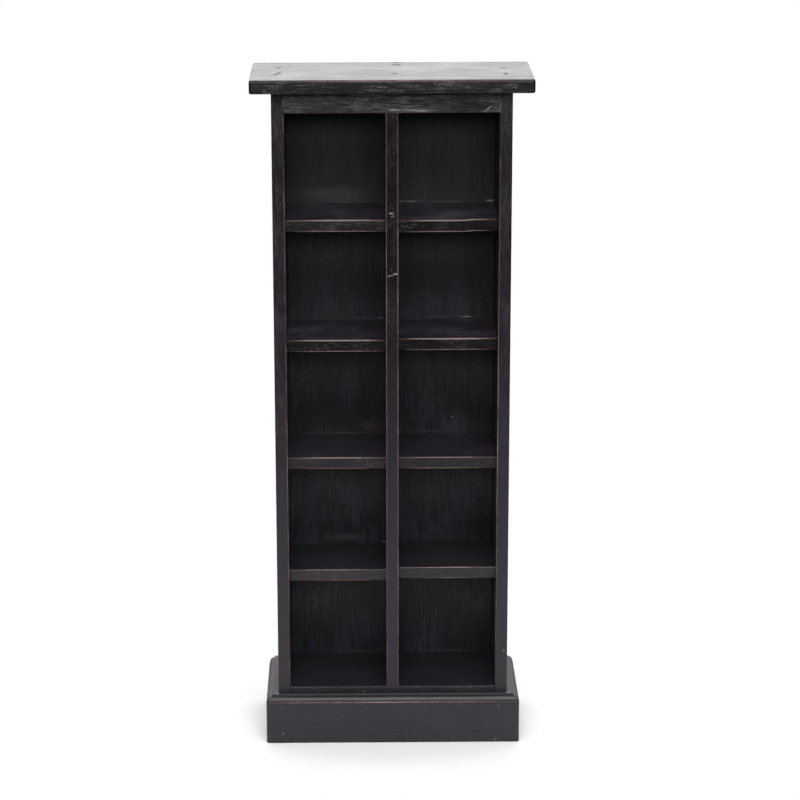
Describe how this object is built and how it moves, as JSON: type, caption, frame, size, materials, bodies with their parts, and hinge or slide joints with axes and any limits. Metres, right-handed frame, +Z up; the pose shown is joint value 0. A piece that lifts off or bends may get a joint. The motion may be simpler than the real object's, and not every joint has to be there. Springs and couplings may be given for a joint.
{
  "type": "cd shelf",
  "caption": "Tall narrow open shelf with two columns of cubby holes for CD cases, an overhanging top board and a mitred moulded plinth, in rubbed black wood.",
  "frame": {"origin": "on the floor, under the middle of the top board: the centre of the bottom of the whole shelf's box", "axes": "+Z up, front faces -Y, +X to the right seen from the front, +Y towards the back"},
  "size_m": [0.402, 0.175, 1],
  "materials": {
    "rubbed_black_wood": "black paint rubbed through to brown wood on the edges, satin",
    "bare_wood": "unfinished planed wood",
    "fastener_steel": "plain steel"
  },
  "bodies": {
    "root": {"top_board": "rubbed_black_wood", "left_side_panel": "rubbed_black_wood", "right_side_panel": "rubbed_black_wood", "top_rail": "rubbed_black_wood", "centre_divider": "rubbed_black_wood", "shelf_left_1": "rubbed_black_wood", "shelf_left_2": "rubbed_black_wood", "shelf_left_3": "rubbed_black_wood", "shelf_left_4": "rubbed_black_wood", "shelf_right_1": "rubbed_black_wood", "shelf_right_2": "rubbed_black_wood", "shelf_right_3": "rubbed_black_wood", "shelf_right_4": "rubbed_black_wood", "floor_board": "rubbed_black_wood", "back_panel": "rubbed_black_wood", "front_plinth": "rubbed_black_wood", "left_plinth": "rubbed_black_wood", "right_plinth": "rubbed_black_wood", "top_board_plugs": "rubbed_black_wood", "rear_plinth_rail": "bare_wood", "glue_blocks": "bare_wood", "top_board_screws": "fastener_steel", "plinth_nails": "fastener_steel", "back_panel_nails": "fastener_steel"}
  },
  "joints": []
}
